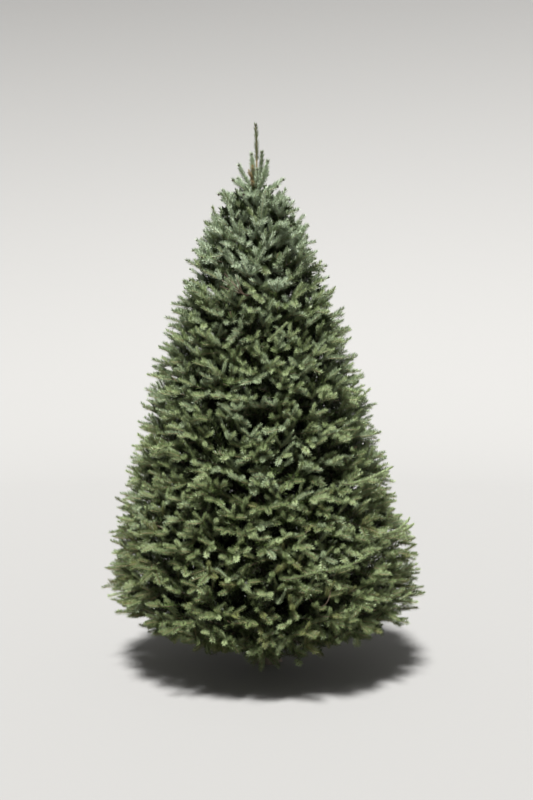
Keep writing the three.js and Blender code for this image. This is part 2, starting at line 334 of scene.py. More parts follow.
def boughPath(curve, tier):
    radius = byTier(boughs["radii"], tier)
    shares = [i * curve["step"] / curve["length"] for i in range(boughs["steps"] + 1)]
    widths = []
    for share in shares:
        along = share / boughs["boughShare"]
        collar = boughs["collarShare"] * math.exp(-along * boughs["collarFade"])
        if along < 1:
            widths.append(radius * (lerp(1, boughs["tipShare"], along) + collar))
        else:
            past = ramp(share, boughs["boughShare"], boughs["endShare"])
            widths.append(lerp(radius * boughs["tipShare"], boughs["endRadius"], past))
    return {"points": curve["points"], "thickness": widths, "age": 1}


# Branchlets: a lattice of them over each mass's part of the crown's surface, each with shoots in a fan

branchlets = {
    "areaEach": 0.0082,  # crown surface for one full-size branchlet
    "sizes": (1.0, 1.12),  # by tier
    "sizePower": 4,  # how late up the crown they grow to that
    "latticeStart": 0.5,
    "reach": 0.225,  # from a branchlet's fork to its tip
    "sectorShare": 0.97,
    "tipUneven": 0.08,
    "standOut": (-0.002, 0.018),  # of the tips over the crown's surface, by tier
    "standOutPower": 2,
    "topLevel": 0.9,  # how far up the highest tier they reach
    "slopes": (0.50, 2.0),  # against their tier's slope, by tier
    "slopePower": 14,
    "wander": 0.55,
    "fan": 0.12,
    "roll": (1.7, 1.2),  # radians from one extreme to the other, by tier
    "lastFoot": 1.15,  # the furthest place for a twig's foot, of the stem
    "footPlaces": 14,
    "leanShare": 0.6,
    "bow": 0.4,
    "steps": 6,
    "radius": 0.0030,
    "endShare": 0.7,  # of that radius, at the fork
    "needled": (0.3, 0.7),
}
shoots = {
    "terminal": (0.064, 0.098),
    "lastYear": (0.062, 0.088),
    "shortestInner": 0.02,
    "sideShare": (0.68, 0.95),  # side shoots against the terminal
    "sideAngle": (0.45, 0.90),  # radians off the axis
    "forkAngle": (0.55, 0.92),
    "outerShare": 0.6,  # share of forks whose next shoot turns outwards
    "bothShare": 0.5,  # share of forks with a shoot on both flanks
    "flankSize": 0.8,
    "upright": 0.22,  # share of nodes with a shoot on top
    "uprightAngle": (0.6, 1.0),
    "uprightSize": 0.75,
    "curl": (-0.08, 0.11),  # how much a shoot turns up towards its tip
    "sideBend": 0.10,
    "lift": 0.10,  # how much side shoots rise out of the fan's plane
    "liftUneven": 0.35,
    "standOut": 0.005,  # how far a new one may end over the crown's surface
    "shearedTo": 0.45,  # the shortest that it is cut for that
    "steps": 4,
    "girth": (0.98, 1.16),
    "tierGirth": (1, 1.22),  # of that, by tier
    "wood": (0.0016, 0.0011),
}
needles = {  # how far apart they stand along a shoot, and their size there
    "new": {"spacing": 0.00098, "girth": 1.0},
    "old": {"spacing": 0.0024, "girth": 1.15},
    "inner": {"spacing": 0.0030, "girth": 1.3},
}
innerShoots = {
    "areaEach": (0.0027, 0.0032),  # crown surface for one of them, by tier
    "latticeStart": 0.2,
    "depth": (0.10, 0.46),  # of its tip inside the crown's surface
    "tierDepth": (1, 0.3),  # of that, by tier
    "leastReach": 0.05,
    "drop": 0.02,
    "bow": 0.06,
    "steps": 6,
    "needled": (0.1, 1.0),
    "shoot": {"girth": 1.45, "spacing": 0.0036},
    "wood": (0.0020, 0.0010),
    "limb": {"girth": 2.2, "spacing": 0.0016, "share": (0.1, 0.9)},  # needles along the limbs themselves
    "limbReach": (0.10, 1.2),
    "limbSteps": 12,
}
spurs = {  # side shoots on a limb's two flanks, near the trunk
    "count": 14,
    "places": (0.12, 0.55),
    "ahead": 0.05,  # how far on it the limb's direction is read
    "length": (0.14, 0.22),
    "angle": (0.7, 1.3),
    "rise": (-0.5, 0.5),
    "standIn": 0.08,  # how far they end inside the crown's surface
    "shortest": 0.02,
    "bow": 0.01,
    "steps": 5,
}
tinting = {  # the high crown is glaucous, and each step down the colours is a greener and darker one: partly the needles' own colour, partly painted light on the top and painted shade on the low crown
    "top": 2.1,  # the height at which the first colour is the commonest
    "perMetre": 2.0,
    "uneven": 1.0,  # how many steps a spray may be off its height's colour
    "stray": 0.5,  # share of shoots one step off their spray's colour
    "bloomAbove": 1.7,  # the height from which shoots have the palest colour
    "last": 5,
    "old": 6,
    # the inner colour is darkened as painted shade
    "inner": 7,
    "dry": 8,
    "oldShare": 0.6,  # share of sprays whose older shoots are still green; the rest take the inner needles' colour, which is painted shade
}


def between(limits, draw):
    return lerp(limits[0], limits[1], draw())


def addNeedles(made, kind, points, tint, look):  # share tells a needle how far along its shoot it stands
    made[kind].append({
        "points": points, "share": look["share"], "tint": tint, "girth": look["girth"],
        "spacing": look["spacing"],
    })


def addWood(made, kind, points, thickness, age):  # age is 0 for new wood and 1 for older wood
    made[kind].append({"points": points, "thickness": thickness, "age": age})


def addInner(made, points, bareSteps, share, thickness):  # a shaded twig, its first steps without needles; its needles take the inner colour, which is painted shade
    addWood(made, "branchletWood", points, thickness, 1)
    look = {"share": share, **innerShoots["shoot"]}
    addNeedles(made, "inner", points[bareSteps:], tinting["inner"], look)


def arc(foot, bow, tip, steps):  # a path between two points that is drawn towards a third
    points = []
    for step in range(steps + 1):
        t = step / steps
        points.append(foot * (1 - t) ** 2 + bow * (2 * t * (1 - t)) + tip * t * t)
    return points


def bowed(root, tip, bow, steps):  # a path between two points that bows by a vector at its middle
    bow = Vector(bow)
    return [root.lerp(tip, i / steps) + bow * (4 * i / steps * (1 - i / steps)) for i in range(steps + 1)]


def tintWithin(step, height):
    palest = 0 if height > tinting["bloomAbove"] else 1
    return min(tinting["last"], max(palest, round(step)))


def tintsFor(height, draw):  # of a spray's new shoots, and of its older ones
    # lower sprays take darker steps: partly their own colour, partly painted shade
    step = (tinting["top"] - height) * tinting["perMetre"] + (draw() - 0.5) * 2 * tinting["uneven"]
    new = tintWithin(step, height)
    old = tinting["old"] if draw() < tinting["oldShare"] else tinting["inner"]
    return {"new": new, "old": old, "inner": old}


def growShoot(made, space, start, heading, length, age, tint, draw):  # the shoot's tip and heading there
    bend = up * between(shoots["curl"], draw)
    bend += heading.cross(up) * (shoots["sideBend"] * (draw() - 0.5) * 2)
    tip = start + (heading + bend) * length
    if age == "new":
        over = beyondCrown(tip) - shoots["standOut"]
        if over > 0:
            length = max(shoots["shearedTo"] * length, length - over)
            tip = start + (heading + bend) * length
    if not inSpace(space, tip):
        return None
    steps = shoots["steps"]
    points = []
    for i in range(steps + 1):
        points.append(start + heading * (length * i / steps) + bend * (length * (i / steps) ** 2))
    girth = between(shoots["girth"], draw) * needles[age]["girth"]
    girth *= byTier(shoots["tierGirth"], space["tier"])
    if age == "new" and draw() < tinting["stray"]:
        tint = tintWithin(tint + (1 if draw() < 0.5 else -1), tip.z)
    look = {"share": (0.0, 1.0), "girth": girth, "spacing": needles[age]["spacing"]}
    addNeedles(made, "brushes", points, tint, look)
    addWood(made, "shootWood", points[::steps], shoots["wood"], 0 if age == "new" else 1)
    ahead = (heading + 2 * bend).normalized()
    if age == "new":
        made["tips"].append((points[-1], ahead, space["tier"]))
    return points[-1], ahead


def growBranchlet(made, space, fork, along, size, tints, draw):
    roll = (draw() - 0.5) * byTier(branchlets["roll"], space["tier"])
    over = (up - along * along.dot(up)).normalized()
    over.rotate(Quaternion(along, roll))
    across = along.cross(over)
    lastYear = between(shoots["lastYear"], draw) * size
    terminal = between(shoots["terminal"], draw) * size

    def shoot(node, heading, length, age="new"):
        return growShoot(made, space, node[0], heading, length, age, tints[age], draw)

    def aside(node, angles, side):  # a heading off to one side, in the branchlet's fan
        angle = between(angles, draw)
        lift = shoots["lift"] + (draw() - 0.5) * 2 * shoots["liftUneven"]
        return (node[1] * math.cos(angle) + across * (side * math.sin(angle)) + over * lift).normalized()

    first = max(shoots["shortestInner"], branchlets["reach"] * size - lastYear - terminal)
    node = shoot((fork, along), along, first, "inner")
    if node is None:
        return
    for side in (-1, 1):
        heading = aside(node, shoots["forkAngle"], side)
        share = between(shoots["sideShare"], draw)
        older = shoot(node, heading, lastYear * share, "old")
        if older is None:
            continue
        shoot(older, older[1], terminal * share)
        outer = side if draw() < shoots["outerShare"] else -side
        for turn in ((outer, -outer) if draw() < shoots["bothShare"] else (outer,)):
            shoot(older, aside(older, shoots["sideAngle"], turn), terminal * share * shoots["flankSize"])
    node = shoot(node, node[1], lastYear, "old")
    if node is None:
        return
    for side in (-1, 1):
        heading = aside(node, shoots["sideAngle"], side)
        shoot(node, heading, terminal * between(shoots["sideShare"], draw))
    if draw() < shoots["upright"]:
        angle = between(shoots["uprightAngle"], draw)
        heading = (node[1] * math.cos(angle) + over * math.sin(angle)).normalized()
        shoot(node, heading, terminal * shoots["uprightSize"])
    shoot(node, node[1], terminal)


def twigFoot(curve, point):  # back from the stem's nearest point, so that the twig leans forward
    first, last, steps = boughs["boughShare"], branchlets["lastFoot"], branchlets["footPlaces"]
    shares = [lerp(first, last, i / steps) for i in range(steps + 1)]
    nearest = min(shares, key=lambda share: (curvePoint(curve, share) - point).length)
    away = (curvePoint(curve, nearest) - point).length
    return curvePoint(curve, max(first, nearest - branchlets["leanShare"] * away / curve["length"]))


def massArea(space):  # of the crown's surface
    low, high = space["low"]["height"], space["high"]["height"]
    return (high - low) * crownReach((low + high) / 2) * 2 * space["half"]


def lattice(count, start):  # even places over a mass, from 0 to 1 up it and from -1 to 1 across it
    return [((i + 0.5) / count, ((start + i * golden) % 1) * 2 - 1) for i in range(count)]


def growMass(made, tier, index):
    draw = randomFrom(crown["seed"] + 100 * tier + index)
    space = massSpace(tier, index)
    curve = boughCurve(space, draw)
    made["boughs"].append(boughPath(curve, tier))
    steps = innerShoots["limbSteps"]
    limb = [curvePoint(curve, lerp(*innerShoots["limbReach"], i / steps)) for i in range(steps + 1)]
    # the limbs' needles take the dark inner colour, painted shade
    addNeedles(made, "inner", limb, tinting["inner"], innerShoots["limb"])
    low, high = space["low"], space["high"]
    size = byTier(branchlets["sizes"], tier, branchlets["sizePower"])
    count = round(massArea(space) / (branchlets["areaEach"] * size * size))
    for level, across in lattice(count, branchlets["latticeStart"]):
        if tier == lastTier:
            level *= branchlets["topLevel"]
        height = lerp(low["height"], high["height"], level)
        angle = space["middle"] + across * branchlets["sectorShare"] * space["half"]
        slope = lerp(low["slope"], high["slope"], level)
        slope *= byTier(branchlets["slopes"], tier, branchlets["slopePower"])
        slope += (draw() - 0.5) * branchlets["wander"]
        heading = angle - across * branchlets["fan"] + (draw() - 0.5) * branchlets["wander"]
        surface = crownReach(height) * (1 - branchlets["tipUneven"] * draw())
        surface += byTier(branchlets["standOut"], tier, branchlets["standOutPower"])
        tip = crownPoint(angle, surface, height)
        along = Vector((math.cos(heading), math.sin(heading), slope)).normalized()
        fork = tip - along * (branchlets["reach"] * size)
        foot = twigFoot(curve, fork)
        bow = fork - along * (branchlets["bow"] * (fork - foot).length)
        thick = branchlets["radius"] * size
        points = arc(foot, bow, fork, branchlets["steps"])
        addInner(made, points, 0, branchlets["needled"], (thick, thick * branchlets["endShare"]))
        growBranchlet(made, space, fork, along, size, tintsFor(height, draw), draw)
    growInner(made, space, curve, draw)
    growSpurs(made, curve, draw)


def growInner(made, space, curve, draw):  # old shaded shoots, which close the crown's inside; their needles' dark colour is painted shade
    low, high = space["low"]["height"], space["high"]["height"]
    count = round(massArea(space) / byTier(innerShoots["areaEach"], space["tier"]))
    for level, across in lattice(count, innerShoots["latticeStart"]):
        height = lerp(low, high, level)
        depth = between(innerShoots["depth"], draw) * byTier(innerShoots["tierDepth"], space["tier"])
        distance = max(innerShoots["leastReach"], crownReach(height) - depth)
        tip = crownPoint(space["middle"] + across * space["half"], distance, height - innerShoots["drop"])
        foot = twigFoot(curve, tip)
        bow = foot.lerp(tip, 0.5) + Vector((draw() - 0.5, draw() - 0.5, draw() - 0.7)) * innerShoots["bow"]
        points = arc(foot, bow, tip, innerShoots["steps"])
        addInner(made, points, 1, innerShoots["needled"], innerShoots["wood"])


def growSpurs(made, curve, draw):
    for i in range(spurs["count"]):
        share = lerp(*spurs["places"], i / (spurs["count"] - 1))
        start = curvePoint(curve, share)
        heading = (curvePoint(curve, share + spurs["ahead"]) - start).normalized()
        heading.rotate(Quaternion(up, (-1) ** i * between(spurs["angle"], draw)))
        heading.z += between(spurs["rise"], draw)
        heading = heading.normalized()
        length = between(spurs["length"], draw)
        end = start + heading * length
        over = max(0.0, beyondCrown(end) + spurs["standIn"])
        end -= heading * min(length - spurs["shortest"], over)
        points = bowed(start, end, up * spurs["bow"], spurs["steps"])
        addInner(made, points, 0, innerShoots["needled"], innerShoots["wood"])


# Geometry Nodes trees

needleShape = {
    "belly": 0.45,  # how far from its root a needle is widest
    "rootZone": 0.22,  # the first share of a shoot, where needles are shorter
    "rootLength": 0.66,
    "tipZone": 0.72,  # where they become shorter towards its tip
    "tipLength": 0.88,
    "leanZone": 0.84,  # where they begin to close over its bud
    "least": 0.90,  # against the usual size
    "most": 1.08,
    "faceAlong": 0.5,  # how much a needle's flat side looks along the shoot, and how much up
    "faceUp": 0.8,
}


def dealMaterials(add, made, fact, materials):  # by a whole number that each path carries
    for number, material in enumerate(materials):
        given = {"A": fact, "B": float(number), "Epsilon": 0.4}
        chosen = add("FunctionNodeCompare", given, operation="EQUAL")
        made = add("GeometryNodeSetMaterial", {"Geometry": made, "Selection": chosen, "Material": material})
    add("NodeGroupOutput", {"Geometry": made})


def needleTree(tints):
    tree, add, given = newTree("needleBrush", {
        "Needle Length": 0.0176,
        "Needle Width": 0.0031,
        "Lean": 1.05,
        "Tip Lean": 0.62,
        "Upsweep": 0.32,
        "Wander": 0.09,
        "Twist": 3.4,
        "Keel": 0.05,
        "Curl": 0.10,
        "Seed": 1,
    })
    facts = ("share", "girth", "spacing", "tint")
    share, girth, spacing, tint = [add("GeometryNodeInputNamedAttribute", {"Name": fact}) for fact in facts]
    shape = needleShape
    spines = add("GeometryNodeMeshToCurve", {"Mesh": given["Geometry"]})
    points = add("GeometryNodeCurveToPoints", {"Curve": spines, "Length": spacing}, mode="LENGTH")
    tangent, normal = points.outputs["Tangent"], points.outputs["Normal"]

    # One needle: a kite folded along its keel and curled up at its tip, rooted at the origin along +Y
    kite = add("GeometryNodeCurvePrimitiveQuadrilateral", {
        "Width": 1.0, "Bottom Height": shape["belly"], "Top Height": 1 - shape["belly"],
    }, mode="KITE")
    filled = add("GeometryNodeFillCurve", {"Curve": kite}, mode="NGONS")
    folded = add("GeometryNodeTriangulate", {"Mesh": filled})
    place = add("ShaderNodeSeparateXYZ", {0: add("GeometryNodeInputPosition")})
    sideways = add("ShaderNodeMath", {0: place.outputs["X"]}, operation="ABSOLUTE")
    fold = add("ShaderNodeMath", {0: sideways, 1: given["Keel"]}, operation="MULTIPLY")
    along = add("ShaderNodeMath", {0: place.outputs["Y"], 1: shape["belly"]}, operation="ADD")
    squared = add("ShaderNodeMath", {0: along, 1: 2.0}, operation="POWER")
    rise = add("ShaderNodeMath", {0: squared, 1: given["Curl"], 2: fold}, operation="MULTIPLY_ADD")
    offset = add("ShaderNodeCombineXYZ", {"Y": shape["belly"], "Z": rise})
    needle = add("GeometryNodeSetPosition", {"Geometry": folded, "Offset": offset})

    # Its heading: round the twig by the golden angle, leaning forward, most of all at the tip, and swept up
    place = add("GeometryNodeInputIndex")
    turn = add("ShaderNodeMath", {0: place, 1: golden * 2 * math.pi}, operation="MULTIPLY")
    radial = add("ShaderNodeVectorRotate", {"Vector": normal, "Axis": tangent, "Angle": turn})
    lean = add("ShaderNodeMapRange", {
        "Value": share, "From Min": shape["leanZone"], "From Max": 1.0,
        "To Min": given["Lean"], "To Max": given["Tip Lean"],
    }, interpolation_type="SMOOTHSTEP")
    forward, outward = [add("ShaderNodeMath", {0: lean}, operation=wave) for wave in ("COSINE", "SINE")]
    ahead = add("ShaderNodeVectorMath", {0: tangent, "Scale": forward}, operation="SCALE")
    swept = add("ShaderNodeVectorMath", {0: radial, 1: outward, 2: ahead}, operation="MULTIPLY_ADD")
    lift = add("ShaderNodeCombineXYZ", {"Z": given["Upsweep"]})
    lifted = add("ShaderNodeVectorMath", {0: swept, 1: lift}, operation="ADD")
    least = add("ShaderNodeMath", {0: given["Wander"], 1: -1.0}, operation="MULTIPLY")
    stray, turns = [add("FunctionNodeRandomValue", {
        "Min": least, "Max": given["Wander"], "Seed": seed,
    }, data_type="FLOAT_VECTOR") for seed in (given["Seed"], 5)]
    heading = add("ShaderNodeVectorMath", {0: lifted, 1: stray}, operation="ADD")
    flat = add("ShaderNodeVectorMath", {
        0: tangent, 1: (shape["faceAlong"],) * 3, 2: (0, 0, shape["faceUp"]),
    }, operation="MULTIPLY_ADD")
    twist = add("ShaderNodeVectorMath", {0: turns, "Scale": given["Twist"]}, operation="SCALE")
    facing = add("ShaderNodeVectorMath", {0: flat, 1: twist}, operation="ADD")
    turned = add("FunctionNodeAxesToRotation", {
        "Primary Axis": heading, "Secondary Axis": facing,
    }, primary_axis="Y", secondary_axis="Z")

    # Its size: shorter at the shoot's two ends
    fromRoot = add("ShaderNodeMapRange", {
        "Value": share, "From Max": shape["rootZone"], "To Min": shape["rootLength"], "To Max": 1.0,
    })
    toTip = add("ShaderNodeMapRange", {
        "Value": share, "From Min": shape["tipZone"], "To Min": 1.0, "To Max": shape["tipLength"],
    })
    ends = add("ShaderNodeMath", {0: fromRoot, 1: toTip}, operation="MULTIPLY")
    uneven = add("FunctionNodeRandomValue", {
        "Min": shape["least"], "Max": shape["most"], "Seed": given["Seed"],
    }, data_type="FLOAT")
    scaled = add("ShaderNodeMath", {0: girth, 1: uneven}, operation="MULTIPLY")
    whole = add("ShaderNodeMath", {0: scaled, 1: ends}, operation="MULTIPLY")
    length = add("ShaderNodeMath", {0: whole, 1: given["Needle Length"]}, operation="MULTIPLY")
    width = add("ShaderNodeMath", {0: scaled, 1: given["Needle Width"]}, operation="MULTIPLY")
    scale = add("ShaderNodeCombineXYZ", {"X": width, "Y": length, "Z": length})
    placed = add("GeometryNodeInstanceOnPoints", {
        "Points": points, "Instance": needle, "Rotation": turned, "Scale": scale,
    })
    made = add("GeometryNodeRealizeInstances", {"Geometry": placed})
    dealMaterials(add, made, tint, tints)
    return tree


def limbTree(young, old):
    tree, add, given = newTree("barkTube", {"Sides": 3, "Relief": 0.0, "Relief Size": 0.02})
    thickness, age = [
        add("GeometryNodeInputNamedAttribute", {"Name": fact}) for fact in ("thickness", "age")
    ]
    spines = add("GeometryNodeMeshToCurve", {"Mesh": given["Geometry"]})
    ring = add("GeometryNodeCurvePrimitiveCircle", {"Resolution": given["Sides"], "Radius": 1.0})
    tube = add("GeometryNodeCurveToMesh", {
        "Curve": spines, "Profile Curve": ring, "Scale": thickness, "Fill Caps": True,
    })
    grain = add("ShaderNodeMath", {0: 1.0, 1: given["Relief Size"]}, operation="DIVIDE")
    rough = add("ShaderNodeTexNoise", {"Scale": grain, "Detail": 3.0})
    bump = add("ShaderNodeMath", {0: rough, 1: 0.5}, operation="SUBTRACT")
    height = add("ShaderNodeMath", {0: bump, 1: given["Relief"]}, operation="MULTIPLY")
    normal = add("GeometryNodeInputNormal")
    offset = add("ShaderNodeVectorMath", {0: normal, "Scale": height}, operation="SCALE")
    relief = add("GeometryNodeSetPosition", {"Geometry": tube, "Offset": offset})
    smooth = add("GeometryNodeSetShadeSmooth", {"Geometry": relief})
    made = add("GeometryNodeRealizeInstances", {"Geometry": smooth})
    dealMaterials(add, made, age, (young, old))
    return tree


# Materials

needleColours = {
    "glaucousFirNeedle": "#a6b498",  # waxy bloom on the strongest new shoots: pale and greyed, made paler still as painted light on the crown's top
    "blueGreenFirNeedle": "#7e8c6a",  # thinner bloom: cool and matt
    "greyGreenFirNeedle": "#89976b",  # bloom half rubbed off: soft grey-green
    "greenFirNeedle": "#667449",  # clean needle: plain mid green with a slight gloss, darkened as painted shade on the lower crown
    "oliveFirNeedle": "#5a663c",  # low crown: warm green, darkened as painted shade on the low crown
    "yellowGreenFirNeedle": "#606739",  # a few shoots short of feed: yellowish, darkened as painted shade on the low crown
    "lastYearFirNeedle": "#4c5e2b",  # last year's needles: darker, their bloom gone, and a deeper green as painted shade, the green of light bounced among needles
    "innerPaintedShadeFirNeedle": "#333f1a",  # needles deep in the crown: an old dull green, made darker and more saturated as painted shade and painted green bounce light
    "dryFirNeedle": "#a08e66",  # a dead sprig by the leader: foxy brown
}
needleFinish = {"roughness": 0.48, "sheen": 0.05}  # a thin wax: a wide dull shine
barkFinish = {
    "roughness": 0.85,
    "dark": 0.35,  # how much of the noise stays dark, and where it is palest
    "pale": 0.68,
    "speck": 0.004,
    "speckDepth": 0.0008,
    "speckStrength": 0.5,
}


def plainMaterial(name, colour, roughness, sheen=0.0):
    material = bpy.data.materials.new(name)
    material.use_nodes = True
    inputs = material.node_tree.nodes["Principled BSDF"].inputs
    inputs["Base Color"].default_value = linear(colour)
    inputs["Roughness"].default_value = roughness
    inputs["Sheen Weight"].default_value = sheen
    return material


def barkMaterial(name, darkColour, paleColour, patch):  # young fir bark: smooth, grey, with fine specks
    material = plainMaterial(name, darkColour, barkFinish["roughness"])
    tree = material.node_tree
    add = partial(addNode, tree)
    shader = tree.nodes["Principled BSDF"]
    place = add("ShaderNodeTexCoord").outputs["Object"]
    patches = add("ShaderNodeTexNoise", {"Vector": place, "Scale": 1 / patch, "Detail": 5.0})
    shades = add("ShaderNodeValToRGB", {"Fac": patches})
    dark, pale = shades.color_ramp.elements
    dark.color, dark.position = linear(darkColour), barkFinish["dark"]
    pale.color, pale.position = linear(paleColour), barkFinish["pale"]
    tree.links.new(shades.outputs["Color"], shader.inputs["Base Color"])
    specks = add("ShaderNodeTexNoise", {
        "Vector": place, "Scale": 1 / barkFinish["speck"], "Detail": 4.0,
    })
    bump = add("ShaderNodeBump", {
        "Strength": barkFinish["speckStrength"], "Distance": barkFinish["speckDepth"], "Height": specks,
    })
    tree.links.new(bump.outputs["Normal"], shader.inputs["Normal"])
    return material


# Trunk

trunk = {
    "footRadius": 0.041,
    "topRadius": 0.006,
    "flareHeight": 0.07,
    "flareShare": 0.45,
    "flareLobes": 5,
    "flareLobeShare": 0.35,
    "sides": 48,
    "rings": 300,
    "crowding": 1.3,
    "blisters": 420,  # resin blisters
    "blisterHeight": 0.0016,
    "blisterSize": (0.003, 0.007),
    "blisterWidth": 1.5,  # of that height
    "blisterEnds": 0.05,  # the trunk's ends have none
    "grain": 0.0022,  # depth of the bark's ripples
    "grainTop": 0.3,  # of that, at the trunk's top
    "ripples": 55,
    "rippleLength": 0.35,
    "fineRipples": 170,
    "fineShare": 0.4,
    "collar": 0.006,  # how far the trunk swells round a bough's root
    "collarTop": 0.35,
    "collarSize": 0.032,
}


def trunkRadius(z, angle):
    stem = lerp(trunk["footRadius"], trunk["topRadius"], z / crown["trunkTop"])
    lobe = 1 + trunk["flareLobeShare"] * math.cos(trunk["flareLobes"] * angle)
    return stem * (1 + trunk["flareShare"] * lobe * math.exp(-z / trunk["flareHeight"]))


def trunkPiece(boughRoots, bark):
    draw = randomFrom(crown["seed"] + 7)
    sides, rings, top = trunk["sides"], trunk["rings"], crown["trunkTop"]
    angles = numpy.array([2 * math.pi * side / sides for side in range(sides)])
    heights = numpy.array([top * (ring / rings) ** trunk["crowding"] for ring in range(rings + 1)])
    radii = numpy.array([[trunkRadius(z, angle) for angle in angles] for z in heights])
    relief = numpy.zeros_like(radii)
    for ring, z in enumerate(heights):
        depth = trunk["grain"] * lerp(1, trunk["grainTop"], z / top)
        for side, angle in enumerate(angles):
            place = Vector((math.cos(angle), math.sin(angle), 0)) * radii[ring, side]
            ripple = noise.noise((place + Vector((0, 0, z * trunk["rippleLength"]))) * trunk["ripples"])
            fine = noise.noise((place + Vector((0, 0, z))) * trunk["fineRipples"])
            relief[ring, side] += depth * (ripple + trunk["fineShare"] * fine)

    def swelling(angle, z, size, width):  # 1 at its middle, and fading all round
        turn = numpy.angle(numpy.exp(1j * (angles - angle)))[None, :] * radii
        away = (turn / width) ** 2 + (heights[:, None] - z) ** 2
        return numpy.exp(-away * 2 / size ** 2)

    for angle, z in boughRoots:
        height = trunk["collar"] * lerp(1, trunk["collarTop"], z / top)
        relief += height * swelling(angle, z, trunk["collarSize"], 1)
    for _ in range(trunk["blisters"]):
        angle, z = draw() * 2 * math.pi, lerp(trunk["blisterEnds"], top - trunk["blisterEnds"], draw())
        size = between(trunk["blisterSize"], draw)
        relief += trunk["blisterHeight"] * swelling(angle, z, size, trunk["blisterWidth"])
    radii = radii + relief
    vertices = []
    for ring, z in enumerate(heights):
        shift = trunkShift(z)
        for side, angle in enumerate(angles):
            radius = radii[ring, side]
            vertices.append((shift + radius * math.cos(angle), radius * math.sin(angle), z))
    faces = ringFaces(rings, sides)
    vertices += [(0, 0, 0), (trunkShift(top), 0, top)]
    for side in range(sides):
        nextSide = (side + 1) % sides
        faces.append((len(vertices) - 2, nextSide, side))
        faces.append((len(vertices) - 1, rings * sides + side, rings * sides + nextSide))
    return facedObject("trunkBark", vertices, faces, bark)


# Leader and the upright shoots round its foot

leader = {
    "rootIn": 0.01,  # how far inside the trunk's top it starts
    "tipIn": 0.012,  # how far under the tree's height it ends, for its buds
    "bow": (0.004, 0, 0),
    "steps": 8,
    "bareSteps": 4,
    "thickSteps": 6,
    "thickness": (0.0052, 0.0040, 0.0028),
    "tint": 3,
    "needles": {"share": (0.1, 1.0), "girth": 1.0, "spacing": 0.0008},
    "shoots": 15,
    "solidShoots": 9,  # as many as the solids have; the rest stand lower, round them
    "start": 0.35,
    "roots": (0.1, 0.02),
    "reach": (0.029, 0.121),
    "heights": (2.309, 2.189),
    "shootBow": 0.008,
    "shootSteps": 5,
    "paleShare": 0.8,
    "shoot": {"girth": 1.35, "spacing": 0.0007, "wood": (0.0022, 0.0014)},
    "drySprigs": 6,
    "dryApart": 0.05,
    "drySide": (-0.006, -0.032),
    "dryOut": -0.052,
    "dryRise": (0.030, 0.050),
    "dryBow": (-0.004, 0, 0),
    "drySteps": 4,
    "dry": {"girth": 0.95, "spacing": 0.0010, "wood": (0.0016, 0.0010)},
    "upright": ((-0.030, -0.185, 1.985), (-0.008, -0.180, 2.130)),  # a pale one, before the high crown
    "uprightBow": (-0.006, -0.006, 0),
    "uprightSteps": 6,
    "uprightShoot": {"girth": 0.95, "spacing": 0.0008, "wood": (0.0022, 0.0014)},
}


def addShoot(made, points, tint, kind, share=(0.0, 1.0), age=0):
    addNeedles(made, "brushes", points, tint, {"share": share, **kind})
    addWood(made, "shootWood", points, kind["wood"], age)


def growLeader(made):
    draw = randomFrom(crown["seed"])
    foot = crownPoint(0, 0, crown["trunkTop"] - leader["rootIn"])
    tip = crownPoint(0, 0, crown["treeHeight"] - leader["tipIn"])
    stem = bowed(foot, tip, leader["bow"], leader["steps"])
    addNeedles(made, "leaderNeedles", stem[leader["bareSteps"]:], leader["tint"], leader["needles"])
    low, middle, high = leader["thickness"]
    addWood(made, "shootWood", stem[:leader["thickSteps"] + 1], (low, middle), 0)
    addWood(made, "shootWood", stem[leader["thickSteps"]:], (middle, high), 0)
    made["tips"].append((tip, up.copy(), lastTier + 1))
    for i in range(leader["shoots"]):
        angle = leader["start"] + i * golden * 2 * math.pi
        share = i / (leader["solidShoots"] - 1)
        root = foot.lerp(tip, lerp(*leader["roots"], min(1, share)))
        end = crownPoint(angle, lerp(*leader["reach"], share), lerp(*leader["heights"], share))
        out = Vector((math.cos(angle), math.sin(angle), 0))
        points = bowed(root, end, out * leader["shootBow"], leader["shootSteps"])
        addShoot(made, points, 0 if draw() < leader["paleShare"] else 1, leader["shoot"])
        made["tips"].append((points[-1], (points[-1] - points[-2]).normalized(), lastTier + 1))
    for i in range(leader["drySprigs"]):
        root = foot.lerp(tip, leader["dryApart"] * (i + 1))
        way = Vector((between(leader["drySide"], draw), leader["dryOut"], between(leader["dryRise"], draw)))
        points = bowed(root, root + way, leader["dryBow"], leader["drySteps"])
        addShoot(made, points, tinting["dry"], leader["dry"])
    low, high = map(Vector, leader["upright"])
    points = bowed(low, high, leader["uprightBow"], leader["uprightSteps"])
    addShoot(made, points, 0, leader["uprightShoot"])


# The sprig low in front, which hides the trunk's foot

sprig = {
    "angle": -1.67,
    "height": 0.115,
    "reach": 0.19,
    "rise": 0.004,
    "drop": 0.03,
    "steps": 8,
    "thickness": (0.0045, 0.0018),
    "shoots": 14,
    "places": (0.35, 0.98),  # of its first shoot and its last, along it
    "shootAngle": (0.5, 1.3),
    "shootDroop": (-0.1, 0.6),
    "shootLength": (0.075, 0.110),
    "lowest": 0.02,  # height that its shoots stay above
    "shootBow": 0.006,
    "shootSteps": 4,
    "tints": (2, 3),
    "shoot": {"girth": 1.15, "spacing": 0.0009, "wood": (0.0018, 0.0012)},
}


